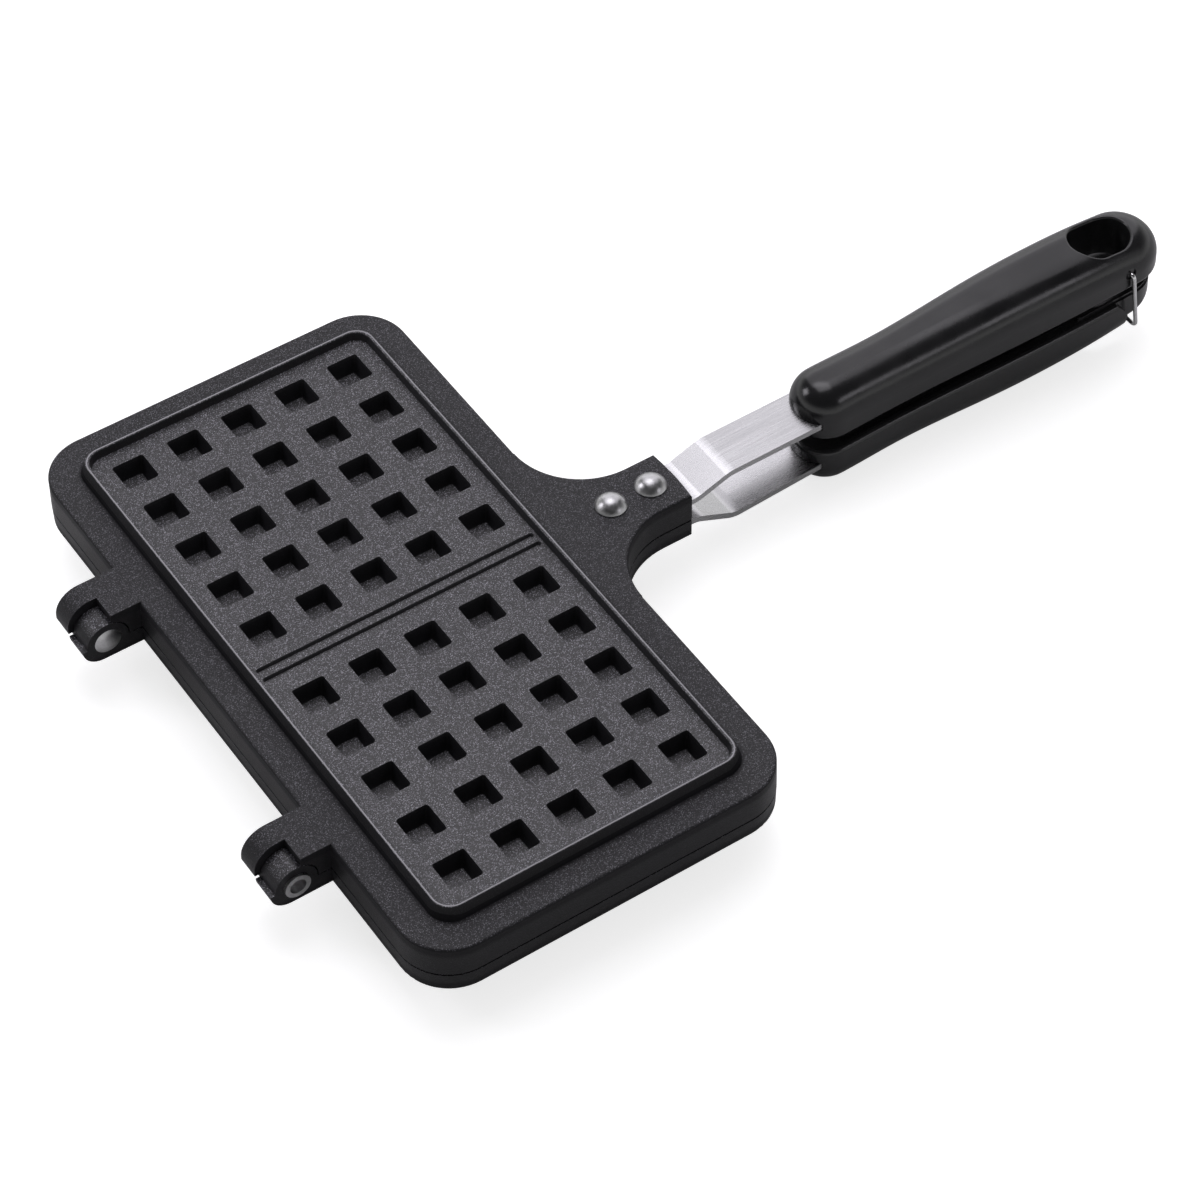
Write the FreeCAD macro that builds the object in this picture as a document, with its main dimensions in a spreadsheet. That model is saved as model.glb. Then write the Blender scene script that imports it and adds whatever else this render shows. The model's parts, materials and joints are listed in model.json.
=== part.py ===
import FreeCAD, Part
import math
import os
import re
import Sketcher

# Double waffle pan: two cast plates on a pinned hinge, each with a riveted steel tang and a
# moulded grip, held shut by a wire bail at the end of the grips.
# Each plate and tang is drawn in the plate's own frame: X towards the grips, Z out of the
# outer face, and Z = 0 on the outer face of the waffle panel. The lower plate is turned half
# a turn about X. Each grip is drawn from the plane midway between the two grips.

Vector = FreeCAD.Vector
Rotation = FreeCAD.Rotation
Placement = FreeCAD.Placement
Constraint = Sketcher.Constraint

# how closely an edge has to lie on its face to be picked for a fillet, the shortest edge
# that is rounded, and how many points along it are tried
PICK_SLACK, SHORTEST_EDGE, EDGE_SAMPLES = 0.02, 0.05, 5

SIZES = [
    # waffle grid
    ("pocket_pitch", 19.5), ("pocket_columns", 5), ("pocket_rows_each_half", 5),
    ("pocket_mouth", 11.0), ("pocket_depth", 6.3), ("pocket_draft_degrees", 14.0),
    ("row_gap_at_divider", 30.92), ("panel_wall", 2.4), ("stud_height", 6.2),
    ("stud_base", 13.5), ("stud_draft_degrees", 13.0),
    ("groove_width", 2.0), ("groove_length", 98.6), ("groove_depth", 1.0),
    ("groove_draft_degrees", 32.0), ("grooves_apart", 4.2), ("ridge_base", 6.0), ("ridge_tip", 3.0),
    # plate outline
    ("plate_across", 128.0), ("plate_along", 236.0), ("plate_corner", 17.0),
    ("flange_step", 1.9), ("flange_edge_round", 0.9), ("side_draft_degrees", 1.2),
    ("upper_wall_depth", 13.2), ("lower_wall_depth", 9.1), ("plates_apart", 0.2),
    # raised rim round the panel
    ("rim_height", 4.7), ("rim_base_across", 107.2), ("rim_base_along", 216.2),
    ("rim_base_corner", 7.5), ("rim_draft_degrees", 19.5), ("rim_above_panel", 2.8),
    ("panel_across", 101.4), ("panel_along", 210.8), ("panel_corner", 5.5), ("panel_draft_degrees", 12.0),
    ("rim_edge_round", 0.5),
    # hollow that holds the batter
    ("hollow_across", 98.4), ("hollow_along", 207.8), ("hollow_corner", 6.0),
    ("hollow_draft_degrees", 8.0),
    # neck
    ("neck_width", 21.4), ("neck_flare", 25.0), ("neck_tip", 100.2), ("neck_bow", 0.6),
    ("neck_root_overlap", 4.0), ("neck_slot_start", 66.0), ("tang_side_gap", 0.2),
    ("upper_tang_depth", 6.9), ("lower_tang_depth", 4.0),
    # neck rivets
    ("rivet_first", 76.5), ("rivet_second", 91.3), ("rivet_head", 10.4),
    ("rivet_head_height", 3.4), ("rivet_head_edge", 0.5), ("rivet_shank", 5.0),
    ("rivet_tail", 8.0), ("rivet_tail_height", 1.4),
    # hinge
    ("hinge_reach", 75.8), ("hinge_above_parting", 1.1), ("barrel_radius", 7.1),
    ("barrel_gap", 0.4), ("lug_inner_end", 47.4), ("lug_width", 16.6), ("upper_ear_width", 7.7),
    ("ear_gap", 0.3), ("lug_reach", 84.5), ("notch_reach", 73.8), ("ledge_gap", 0.3),
    ("lug_root", 60.0), ("upper_ear_depth", 1.9), ("lower_ear_depth", 3.1),
    ("upper_ear_corner", 8.4), ("lower_ear_corner", 6.6),
    ("pin_shank", 6.6), ("pin_gap", 0.05), ("pin_head", 9.0), ("pin_head_height", 1.5),
    ("pin_tail", 8.6), ("pin_tail_height", 1.0), ("pin_bore", 5.4), ("pin_bore_depth", 4.0),
    ("pin_end_gap", 0.1),
    # tangs
    ("tang_width", 17.0), ("tang_thickness", 2.2), ("tang_start", 68.0), ("tang_ramp_start", 103.3),
    ("upper_ramp_end", 115.5), ("lower_ramp_end", 117.5), ("tang_bend", 8.0),
    ("tab_bend", 1.5), ("tab_height", 8.2), ("tab_place", 94.0),
    # grips, measured from the plane midway between them
    ("handle_tilt_degrees", 2.0), ("tang_converge_degrees", 1.55), ("grip_start", 147.0),
    ("grip_mid_height", -12.8), ("grip_length", 141.8), ("grip_inner", 2.7), ("grip_blank", 20.0),
    ("grip_nose_radius", 11.4), ("grip_end_radius", 13.3), ("waist_place", 33.0),
    ("waist_half_width", 11.3), ("palm_place", 75.0), ("palm_half_width", 12.7),
    ("hip_place", 113.0), ("hip_half_width", 13.4), ("crest_nose", 19.9), ("bulb_place", 13.0),
    ("crest_bulb", 20.3), ("crest_waist", 19.9), ("crest_palm", 21.0), ("crest_hip_place", 103.0),
    ("crest_hip", 20.6), ("crest_fall_place", 121.0), ("crest_fall", 19.4), ("crest_end", 15.9),
    ("grip_crown_round", 10.0), ("grip_inner_round", 2.0),
    ("grip_tang_out", 10.4), ("tang_out_place", 3.0), ("mouth_gap", 0.3), ("nose_lip", 12.0),
    ("grip_channel_width", 17.6), ("grip_channel_end", 105.2),
    ("tab_room", 3.0), ("tab_top_room", 1.2),
    ("end_pad_rise", 1.3), ("end_pad_inset", 2.4),
    ("slot_centre", 120.6), ("slot_length", 21.6), ("slot_width", 16.2), ("slot_edge_round", 0.8),
    # screw that holds each tang in its grip
    ("screw_height", 12.0), ("screw_shank", 4.0), ("screw_gap", 0.15), ("screw_head", 7.0),
    ("screw_head_height", 1.6), ("screw_head_edge", 0.4), ("screw_sink", 2.4),
    ("screw_sink_gap", 0.3), ("screw_past_tab", 1.5), ("screw_slot", 1.2), ("screw_slot_depth", 0.8),
    # bail
    ("wire_radius", 0.7), ("wire_bend", 2.4), ("pivot_bend", 1.3), ("bail_half_width", 14.75),
    ("bail_place", 124.2), ("bail_height", 9.9), ("bail_drop", 24.6), ("bail_lean_degrees", 6.0),
    ("pivot_gap", 0.06), ("pivot_end", 8.6), ("pivot_sink", 4.2), ("pivot_sink_depth", 0.7),
    # tongue at the lower grip's end, round which the bail swings
    ("tongue_inset", 1.9), ("tongue_gap", 0.35), ("tongue_crown_round", 3.2), ("tongue_root", 112.0),
    ("tongue_over", 1.0),
    ("step_inner_place", 119.6), ("step_middle_place", 121.8), ("step_middle_height", 5.2),
    ("step_outer_height", 9.6),
    # one overrun that serves all cuts
    ("overrun", 2.0),
]
NAMES = {name for name, value in SIZES}

doc = FreeCAD.newDocument("waffle_pan")
sheet = doc.addObject("Spreadsheet::Sheet", "Size")
for row, (name, value) in enumerate(SIZES, 1):
    sheet.set("A%d" % row, name)
    sheet.set("B%d" % row, repr(value))
    sheet.setAlias("B%d" % row, name)
doc.recompute()


def words(text):
    """An expression of bare size names, with the sheet's name put before each"""
    return re.sub(r"[a-z_]+", lambda m: "Size." + m.group() if m.group() in NAMES else m.group(), text)


def val(text):
    """The number that an expression of named sizes gives"""
    result = sheet.evalExpression(words(text))
    return float(getattr(result, "Value", result))


def bind(thing, prop, text):
    thing.setExpression(prop, words(text))


def new_body(label):
    body = doc.addObject("PartDesign::Body", label)
    body.Label = label
    return body


def new_sketch(body, name, role, height="0"):
    """A sketch on one of the body's own origin planes, raised along the plane's normal"""
    sketch = body.newObject("Sketcher::SketchObject", name)
    plane = next(f for f in body.Origin.OriginFeatures if f.Role == role)
    sketch.AttachmentSupport = [(plane, "")]
    sketch.MapMode = "FlatFace"
    bind(sketch, ".AttachmentOffset.Base.z", height)
    return sketch


def datum(sketch, kind, places, name, text):
    """Adds a dimension, names it and binds it to an expression of sizes"""
    index = sketch.addConstraint(Constraint(kind, *places, val(text)))
    sketch.renameConstraint(index, name)
    bind(sketch, "Constraints." + name, text)


def draw_rounded_box(sketch, across, along, corner):
    """A rounded rectangle about the sketch's origin"""
    half_x, half_y, r = val(across) / 2, val(along) / 2, val(corner)
    ix, iy = half_x - r, half_y - r
    sides = [((-ix, -half_y), (ix, -half_y)), ((half_x, -iy), (half_x, iy)),
             ((ix, half_y), (-ix, half_y)), ((-half_x, iy), (-half_x, -iy))]
    centres = [(ix, -iy), (ix, iy), (-ix, iy), (-ix, -iy)]
    for a, b in sides:
        sketch.addGeometry(Part.LineSegment(Vector(*a, 0), Vector(*b, 0)))
    turn = math.pi / 2
    for k, centre in enumerate(centres):
        circle = Part.Circle(Vector(*centre, 0), Vector(0, 0, 1), r)
        sketch.addGeometry(Part.ArcOfCircle(circle, (k - 1) * turn, k * turn))
    for k in range(4):
        sketch.addConstraint(Constraint("Tangent", k, 2, 4 + k, 1))
        sketch.addConstraint(Constraint("Tangent", 4 + k, 2, (k + 1) % 4, 1))
        sketch.addConstraint(Constraint("Horizontal" if k % 2 == 0 else "Vertical", k))
    for k in range(1, 4):
        sketch.addConstraint(Constraint("Equal", 4, 4 + k))
    sketch.addConstraint(Constraint("Symmetric", 4, 3, 6, 3, -1, 1))
    datum(sketch, "Radius", (4,), "corner", corner)
    datum(sketch, "DistanceX", (3, 1, 1, 1), "across", across)
    datum(sketch, "DistanceY", (0, 1, 2, 1), "along", along)


def end_at(sketch, edge, point):
    """Which end of an edge lies at the point, since every arc runs anticlockwise"""
    curve = sketch.Geometry[edge]
    return 2 if (curve.EndPoint - point).Length < (curve.StartPoint - point).Length else 1


def draw_outline(sketch, corners, closed=True):
    """Edges through the corners, each corner a pair of expressions. A third item makes the
    edge that leads to it an arc of that radius, which bulges to the right of its way, or to
    the left where a fourth item says so. A half circle is held by its centre instead"""
    first = sketch.GeometryCount
    points = [Vector(val(corner[0]), val(corner[1]), 0) for corner in corners]
    reached = range(len(corners)) if closed else range(1, len(corners))
    for k in reached:
        start, end = points[k - 1], points[k]
        if len(corners[k]) == 2:
            sketch.addGeometry(Part.LineSegment(start, end))
            continue
        if len(corners[k]) == 4:
            start, end = end, start
        r = val(corners[k][2])
        chord = end - start
        inward = Vector(-chord.y, chord.x, 0).normalize()
        centre = (start + end) / 2 + inward * math.sqrt(max(r * r - chord.Length ** 2 / 4, 0))
        angles = [math.atan2(point.y - centre.y, point.x - centre.x) for point in (start, end)]
        sketch.addGeometry(Part.ArcOfCircle(Part.Circle(centre, Vector(0, 0, 1), r), *angles))
    edges = {k: first + n for n, k in enumerate(reached)}
    for k, edge in edges.items():
        end = end_at(sketch, edge, points[k])
        onward = edges.get((k + 1) % len(corners))
        if onward is not None and len(edges) > 1:
            sketch.addConstraint(Constraint("Coincident", edge, end, onward, end_at(sketch, onward, points[k])))
        datum(sketch, "DistanceX", (-1, 1, edge, end), "x%d" % edge, corners[k][0])
        datum(sketch, "DistanceY", (-1, 1, edge, end), "y%d" % edge, corners[k][1])
        if len(corners[k]) > 2 and (points[k] - points[k - 1]).Length > 1.999 * val(corners[k][2]):
            sketch.addConstraint(Constraint("Vertical", edge, 1, edge, 3))
        elif len(corners[k]) > 2:
            datum(sketch, "Radius", (edge,), "r%d" % edge, corners[k][2])
    if not closed:
        start = end_at(sketch, first, points[0])
        datum(sketch, "DistanceX", (-1, 1, first, start), "start_x", corners[0][0])
        datum(sketch, "DistanceY", (-1, 1, first, start), "start_y", corners[0][1])


def draw_square(sketch, side, x, y):
    """A square with its centre at x, y"""
    low_x, high_x = "%s - %s / 2" % (x, side), "%s + %s / 2" % (x, side)
    low_y, high_y = "%s - %s / 2" % (y, side), "%s + %s / 2" % (y, side)
    draw_outline(sketch, [(low_x, low_y), (high_x, low_y), (high_x, high_y), (low_x, high_y)])


def draw_slot(sketch, length, width, x, y="0"):
    """A slot along X with round ends, its centre at x, y"""
    low, high = "%s - (%s - %s) / 2" % (x, length, width), "%s + (%s - %s) / 2" % (x, length, width)
    r = "%s / 2" % width
    front, back = "%s - %s" % (y, r), "%s + %s" % (y, r)
    draw_outline(sketch, [(low, front, r), (high, front), (high, back, r), (low, back)])


def draw_circle(sketch, diameter, x="0", y="0"):
    centre = Vector(val(x), val(y), 0)
    index = sketch.addGeometry(Part.Circle(centre, Vector(0, 0, 1), val(diameter) / 2))
    datum(sketch, "Diameter", (index,), "diameter%d" % index, diameter)
    datum(sketch, "DistanceX", (-1, 1, index, 3), "x%d" % index, x)
    datum(sketch, "DistanceY", (-1, 1, index, 3), "y%d" % index, y)


def draw_fixed(sketch, curves):
    """Curves that are worked out from the sizes beforehand and then held in place"""
    for curve in curves:
        index = sketch.addGeometry(curve)
        sketch.addConstraint(Constraint("Block", index))


def add(body, kind, name, sketch, length=None, taper=None, **settings):
    """A feature of the sketch, with its length and taper bound to the sizes"""
    feature = body.newObject("PartDesign::" + kind, name)
    feature.Profile = sketch
    for prop, setting in settings.items():
        setattr(feature, prop, setting)
    if length:
        bind(feature, "Length", length)
    if taper:
        bind(feature, "TaperAngle", taper)
    doc.recompute()
    if not feature.isValid() or feature.Shape.isNull():
        raise RuntimeError("%s: %s" % (name, feature.State))
    before = feature.BaseFeature.Shape.Volume if feature.BaseFeature else 0.0
    grown = feature.Shape.Volume - before
    if (grown < 0) != (kind in ("Pocket", "Groove")):
        raise RuntimeError("%s changed the volume by %.3f" % (name, grown))
    return feature


def add_round(body, name, radius, wanted):
    """A fillet on the edges of the body's tip whose sample points all pass the test"""
    tip = body.Tip
    names = []
    for number, edge in enumerate(tip.Shape.Edges, 1):
        if edge.Length > SHORTEST_EDGE and all(wanted(p) for p in edge.discretize(Number=EDGE_SAMPLES)):
            names.append("Edge%d" % number)
    if not names:
        raise RuntimeError(name + " found no edge")
    feature = body.newObject("PartDesign::Fillet", name)
    feature.Base = (tip, names)
    bind(feature, "Radius", radius)
    doc.recompute()
    if not feature.isValid() or feature.Shape.isNull() or not feature.Shape.isValid():
        raise RuntimeError("%s: %s" % (name, feature.State))
    return feature


def near(a, b, slack=PICK_SLACK):
    return abs(a - b) < slack


# plates


def add_columns(body, feature, name):
    """Repeats one line of pockets or studs along X"""
    pattern = body.newObject("PartDesign::LinearPattern", name)
    pattern.Originals = [feature]
    axis = next(f for f in body.Origin.OriginFeatures if f.Role == "X_Axis")
    pattern.Direction = (axis, [""])
    bind(pattern, "Length", "(pocket_columns - 1) * pocket_pitch")
    bind(pattern, "Occurrences", "pocket_columns")
    body.Tip = pattern
    doc.recompute()


def draw_line_of_squares(sketch, side):
    """The first column of the grid: squares on both sides of the divider"""
    for half in ("-", ""):
        for row in range(int(val("pocket_rows_each_half"))):
            y = "%s(row_gap_at_divider / 2 + %d * pocket_pitch)" % (half, row)
            draw_square(sketch, side, "-(pocket_columns - 1) / 2 * pocket_pitch", y)


def make_plate(label, wall, hinge, tang_seat, ear_depth, ear_corner, ear_width, bore):
    """One cast plate; every size is an expression, and depths run inwards from the panel"""
    body = new_body(label)
    parting = "-(%s - plates_apart / 2)" % wall
    flange = "%s - plates_apart / 2 - flange_step" % wall
    top = -val("flange_step")

    # flange and neck
    sketch = new_sketch(body, label + "_flange_sketch", "XY_Plane", parting)
    draw_rounded_box(sketch, "plate_across", "plate_along", "plate_corner")
    add(body, "Pad", label + "_flange", sketch, flange, "-side_draft_degrees")
    sketch = new_sketch(body, label + "_neck_sketch", "XY_Plane", parting)
    edge, half = "plate_across / 2", "neck_width / 2"
    root, side = edge + " - neck_root_overlap", "(%s + neck_flare)" % half
    bow = "(neck_width * neck_width / 4 + neck_bow * neck_bow) / (2 * neck_bow)"
    draw_outline(sketch, [
        (root, side), (root, "-" + side), (edge, "-" + side),
        (edge + " + neck_flare", "-" + half, "neck_flare", "left"),
        ("neck_tip - neck_bow", "-" + half), ("neck_tip - neck_bow", half, bow),
        (edge + " + neck_flare", half), (edge, side, "neck_flare", "left")])
    add(body, "Pad", label + "_neck", sketch, flange)
    add_round(body, label + "_edge_round", "flange_edge_round", lambda p: near(p.z, top))

    # raised rim and sunken panel
    sketch = new_sketch(body, label + "_rim_sketch", "XY_Plane", "-flange_step")
    draw_rounded_box(sketch, "rim_base_across", "rim_base_along", "rim_base_corner")
    add(body, "Pad", label + "_rim", sketch, "rim_height", "-rim_draft_degrees")
    sketch = new_sketch(body, label + "_panel_sketch", "XY_Plane", "rim_above_panel")
    draw_rounded_box(sketch, "panel_across", "panel_along", "panel_corner")
    add(body, "Pocket", label + "_panel", sketch, "rim_above_panel", "-panel_draft_degrees")
    add_round(body, label + "_rim_round", "rim_edge_round", lambda p: near(p.z, val("rim_above_panel")))

    # lugs: a root across both halves, then an ear with its barrel on one half
    outer, axis = "-" + ear_depth, "-" + hinge
    ledge = axis + " + ledge_gap"
    for mark, high in (("left", "(lug_inner_end + lug_width)"), ("right", "-lug_inner_end")):
        name = "%s_%s_lug" % (label, mark)
        sketch = new_sketch(body, name + "_root_sketch", "XZ_Plane", "-1 * " + high)
        draw_outline(sketch, [("-lug_root", outer), ("-lug_root", parting), ("-notch_reach", parting),
                              ("-notch_reach", outer)])
        add(body, "Pad", name + "_root", sketch, "lug_width")
        sketch = new_sketch(body, name + "_clear_sketch", "XZ_Plane", "%s - %s" % (ear_width, high))
        draw_circle(sketch, "2 * (barrel_radius + barrel_gap)", "-hinge_reach", axis)
        add(body, "Pocket", name + "_clear", sketch, "lug_width - %s + overrun" % ear_width, Reversed=True)
        sketch = new_sketch(body, name + "_ear_sketch", "XZ_Plane", "-1 * " + high)
        draw_outline(sketch, [
            ("-lug_root", outer), ("-lug_root", parting), ("-hinge_reach", parting),
            ("-hinge_reach", ledge), ("-lug_reach", ledge), ("-lug_reach", "%s - %s" % (outer, ear_corner)),
            ("-lug_reach + %s" % ear_corner, outer, ear_corner, "left")])
        add(body, "Pad", name + "_ear", sketch, ear_width)
        sketch = new_sketch(body, name + "_barrel_sketch", "XZ_Plane", "-1 * " + high)
        draw_circle(sketch, "2 * barrel_radius", "-hinge_reach", axis)
        add(body, "Pad", name + "_barrel", sketch, ear_width)
    sketch = new_sketch(body, label + "_hinge_bore_sketch", "XZ_Plane")
    draw_circle(sketch, bore, "-hinge_reach", axis)
    add(body, "Pocket", label + "_hinge_bore", sketch, "plate_along", Midplane=True)

    # hollow for the batter, with a ridge under the divider and a stud under each pocket
    sketch = new_sketch(body, label + "_hollow_sketch", "XY_Plane", parting)
    draw_rounded_box(sketch, "hollow_across", "hollow_along", "hollow_corner")
    add(body, "Pocket", label + "_hollow", sketch, "%s - plates_apart / 2 - panel_wall" % wall,
        "-hollow_draft_degrees", Reversed=True)
    sketch = new_sketch(body, label + "_ridge_sketch", "YZ_Plane")
    low, high = "-(panel_wall + stud_height)", "-panel_wall"
    draw_outline(sketch, [("-ridge_tip / 2", low), ("ridge_tip / 2", low), ("ridge_base / 2", high),
                          ("-ridge_base / 2", high)])
    add(body, "Pad", label + "_ridge", sketch, "hollow_across", Midplane=True)
    sketch = new_sketch(body, label + "_stud_sketch", "XY_Plane", "-panel_wall")
    draw_line_of_squares(sketch, "stud_base")
    studs = add(body, "Pad", label + "_studs", sketch, "stud_height", "-stud_draft_degrees", Reversed=True)
    add_columns(body, studs, label + "_all_studs")
    sketch = new_sketch(body, label + "_pocket_sketch", "XY_Plane")
    draw_line_of_squares(sketch, "pocket_mouth")
    pockets = add(body, "Pocket", label + "_pockets", sketch, "pocket_depth", "-pocket_draft_degrees")
    add_columns(body, pockets, label + "_all_pockets")
    sketch = new_sketch(body, label + "_divider_sketch", "XY_Plane")
    draw_slot(sketch, "groove_length", "groove_width", "0", "-grooves_apart / 2")
    draw_slot(sketch, "groove_length", "groove_width", "0", "grooves_apart / 2")
    add(body, "Pocket", label + "_divider", sketch, "groove_depth", "-groove_draft_degrees")

    # seat for the tang, open at the neck's end, and the rivet holes
    sketch = new_sketch(body, label + "_seat_sketch", "XY_Plane", "-" + tang_seat)
    half, far = "(tang_width / 2 + tang_side_gap)", "neck_tip + overrun"
    draw_outline(sketch, [("neck_slot_start", "-" + half), (far, "-" + half), (far, half),
                          ("neck_slot_start", half)])
    add(body, "Pocket", label + "_seat", sketch, wall)
    sketch = new_sketch(body, label + "_rivet_hole_sketch", "XY_Plane", "-flange_step")
    draw_circle(sketch, "rivet_shank", "rivet_first")
    draw_circle(sketch, "rivet_shank", "rivet_second")
    add(body, "Pocket", label + "_rivet_holes", sketch, wall)
    return body


upper_plate = make_plate(
    "upper_plate", "upper_wall_depth", "(upper_wall_depth - hinge_above_parting)", "upper_tang_depth",
    "upper_ear_depth", "upper_ear_corner", "upper_ear_width", "(pin_shank + 2 * pin_gap)")
lower_plate = make_plate(
    "lower_plate", "lower_wall_depth", "(lower_wall_depth + hinge_above_parting)", "lower_tang_depth",
    "lower_ear_depth", "lower_ear_corner", "(lug_width - upper_ear_width - ear_gap)", "pin_shank")


# turned pieces: hinge pins, neck rivets and grip screws


def make_turned(label, corners):
    """A piece turned about its own Z axis from half of its outline"""
    body = new_body(label)
    sketch = new_sketch(body, label + "_sketch", "XZ_Plane")
    draw_outline(sketch, corners)
    add(body, "Revolution", label + "_turned", sketch, ReferenceAxis=(sketch, ["V_Axis"]))
    return body


def cap_radius(radius, height):
    """Expression for the radius of a dome that is this high over this radius"""
    return "(%s * %s + %s * %s) / (2 * %s)" % (radius, radius, height, height, height)


def make_pin(label):
    """A hinge pin with a domed head, and a hollow tail that is rolled over"""
    shank_end = "(lug_width + pin_end_gap)"
    tail_end = shank_end + " + pin_tail_height"
    bore_floor = tail_end + " - pin_bore_depth"
    return make_turned(label, [
        ("0", "-pin_head_height"), ("pin_head / 2", "0", cap_radius("(pin_head / 2)", "pin_head_height")),
        ("pin_shank / 2", "0"), ("pin_shank / 2", shank_end), ("pin_tail / 2", shank_end),
        ("pin_tail / 2", tail_end), ("pin_bore / 2", tail_end), ("pin_bore / 2", bore_floor),
        ("0", bore_floor)])


def make_rivet(label, stack):
    """A neck rivet through a stack of this thickness, its head on the outer face"""
    dome = "(rivet_head_height - rivet_head_edge)"
    return make_turned(label, [
        ("0", "-(%s) - rivet_tail_height" % stack), ("rivet_tail / 2", "-(%s) - rivet_tail_height" % stack),
        ("rivet_tail / 2", "-(%s)" % stack), ("rivet_shank / 2", "-(%s)" % stack), ("rivet_shank / 2", "0"),
        ("rivet_head / 2", "0"), ("rivet_head / 2", "rivet_head_edge"),
        ("0", "rivet_head_height", cap_radius("(rivet_head / 2)", dome))])


def make_screw(label):
    """A screw that runs from the hanging slot's wall into the tang's tab, with a slotted head"""
    reach = "slot_centre - slot_length / 2 - screw_sink - tab_place + screw_past_tab"
    dome = "(screw_head_height - screw_head_edge)"
    body = make_turned(label, [
        ("0", "-screw_head_height"), ("screw_head / 2", "-screw_head_edge", cap_radius("(screw_head / 2)", dome)),
        ("screw_head / 2", "0"), ("screw_shank / 2", "0"), ("screw_shank / 2", reach), ("0", reach)])
    sketch = new_sketch(body, label + "_slot_sketch", "XY_Plane", "screw_slot_depth - screw_head_height")
    half, wide = "screw_head", "screw_slot / 2"
    draw_outline(sketch, [("-" + half, "-" + wide), (half, "-" + wide), (half, wide), ("-" + half, wide)])
    add(body, "Pocket", label + "_slot", sketch, "screw_head_height + overrun")
    return body


left_pin = make_pin("left_hinge_pin")
right_pin = make_pin("right_hinge_pin")
upper_stack = "upper_tang_depth - flange_step + tang_thickness"
lower_stack = "lower_tang_depth - flange_step + tang_thickness"
upper_front_rivet = make_rivet("upper_front_rivet", upper_stack)
upper_back_rivet = make_rivet("upper_back_rivet", upper_stack)
lower_front_rivet = make_rivet("lower_front_rivet", lower_stack)
lower_back_rivet = make_rivet("lower_back_rivet", lower_stack)
upper_screw = make_screw("upper_grip_screw")
lower_screw = make_screw("lower_grip_screw")


# tangs


def strip_curves(points, thickness, bends):
    """Outline of a bent strip, as lines and arcs. The points are the corners of its left
    face, seen along the way; the bends are the radii on the inner side of each corner"""
    def right_of(way):
        return Vector(way.y, -way.x, 0)
    left, right = [("line", points[0])], []
    way = (points[1] - points[0]).normalize()
    right.append(("line", points[0] + right_of(way) * thickness))
    for k, bend in enumerate(bends, 1):
        onward = (points[k + 1] - points[k]).normalize()
        turn = way.x * onward.y - way.y * onward.x
        angle = math.asin(turn)
        radius = bend if turn > 0 else bend + thickness
        reach = radius * math.tan(abs(angle) / 2)
        start, end = points[k] - way * reach, points[k] + onward * reach
        centre = start - right_of(way) * radius * (1 if turn > 0 else -1)
        middle = (points[k] - centre).normalize()
        left += [("line", start), (centre + middle * radius, end)]
        side = thickness if turn > 0 else -thickness
        right += [("line", start + right_of(way) * thickness),
                  (centre + middle * (radius + side), end + right_of(onward) * thickness)]
        way = onward
    left.append(("line", points[-1]))
    right.append(("line", points[-1] + right_of(way) * thickness))
    curves = []
    for side in (left, right):
        for (kind, end), (_, start) in zip(side[1:], side):
            curves.append(Part.LineSegment(start, end) if kind == "line" else Part.Arc(start, kind, end))
    curves.append(Part.LineSegment(left[-1][1], right[-1][1]))
    curves.append(Part.LineSegment(left[0][1], right[0][1]))
    return curves


def tang_face(place):
    """Expression for the height of the tang's outer face at a place along the grip"""
    return "(grip_tang_out - (%s - tang_out_place) * tan(tang_converge_degrees))" % place


def make_tang(label, seat, ramp_end, mid_height, tilt):
    """A steel strip in its plate's own frame: flat in the neck, up a ramp, along the grip,
    and up once more into a tapped tab"""
    body = new_body(label)
    angle = math.radians(val(tilt))
    start = Vector(val("grip_start"), val(mid_height), 0)
    along = Vector(math.cos(angle), math.sin(angle), 0)
    out = Vector(-math.sin(angle), math.cos(angle), 0)

    def in_grip(place, height):
        return start + along * val(place) + out * val(height)

    near_end = in_grip("tang_out_place", tang_face("tang_out_place"))
    corner = in_grip("tab_place", tang_face("tab_place"))
    rise = (corner.y - near_end.y) / (corner.x - near_end.x)
    ramp_top = Vector(val(ramp_end), near_end.y + rise * (val(ramp_end) - near_end.x), 0)
    points = [Vector(val("tang_start"), -val(seat), 0), Vector(val("tang_ramp_start"), -val(seat), 0),
              ramp_top, corner, in_grip("tab_place", tang_face("tab_place") + " + tab_height")]
    sketch = new_sketch(body, label + "_sketch", "XZ_Plane")
    bends = [val("tang_bend"), val("tang_bend"), val("tab_bend")]
    draw_fixed(sketch, strip_curves(points, val("tang_thickness"), bends))
    add(body, "Pad", label + "_strip", sketch, "tang_width", Midplane=True)
    sketch = new_sketch(body, label + "_rivet_hole_sketch", "XY_Plane")
    draw_circle(sketch, "rivet_shank", "rivet_first")
    draw_circle(sketch, "rivet_shank", "rivet_second")
    add(body, "Pocket", label + "_rivet_holes", sketch, "upper_wall_depth")
    tapped = in_grip("tab_place", "screw_height")
    sketch = body.newObject("Sketcher::SketchObject", label + "_tapped_sketch")
    plane = next(f for f in body.Origin.OriginFeatures if f.Role == "YZ_Plane")
    sketch.AttachmentSupport = [(plane, "")]
    sketch.MapMode = "FlatFace"
    sketch.AttachmentOffset = Placement(Vector(0, tapped.y, tapped.x), Rotation(Vector(1, 0, 0), -val(tilt)))
    draw_circle(sketch, "screw_shank")
    add(body, "Pocket", label + "_tapped", sketch, "2 * tab_room + tang_thickness", Midplane=True)
    return body


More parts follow.
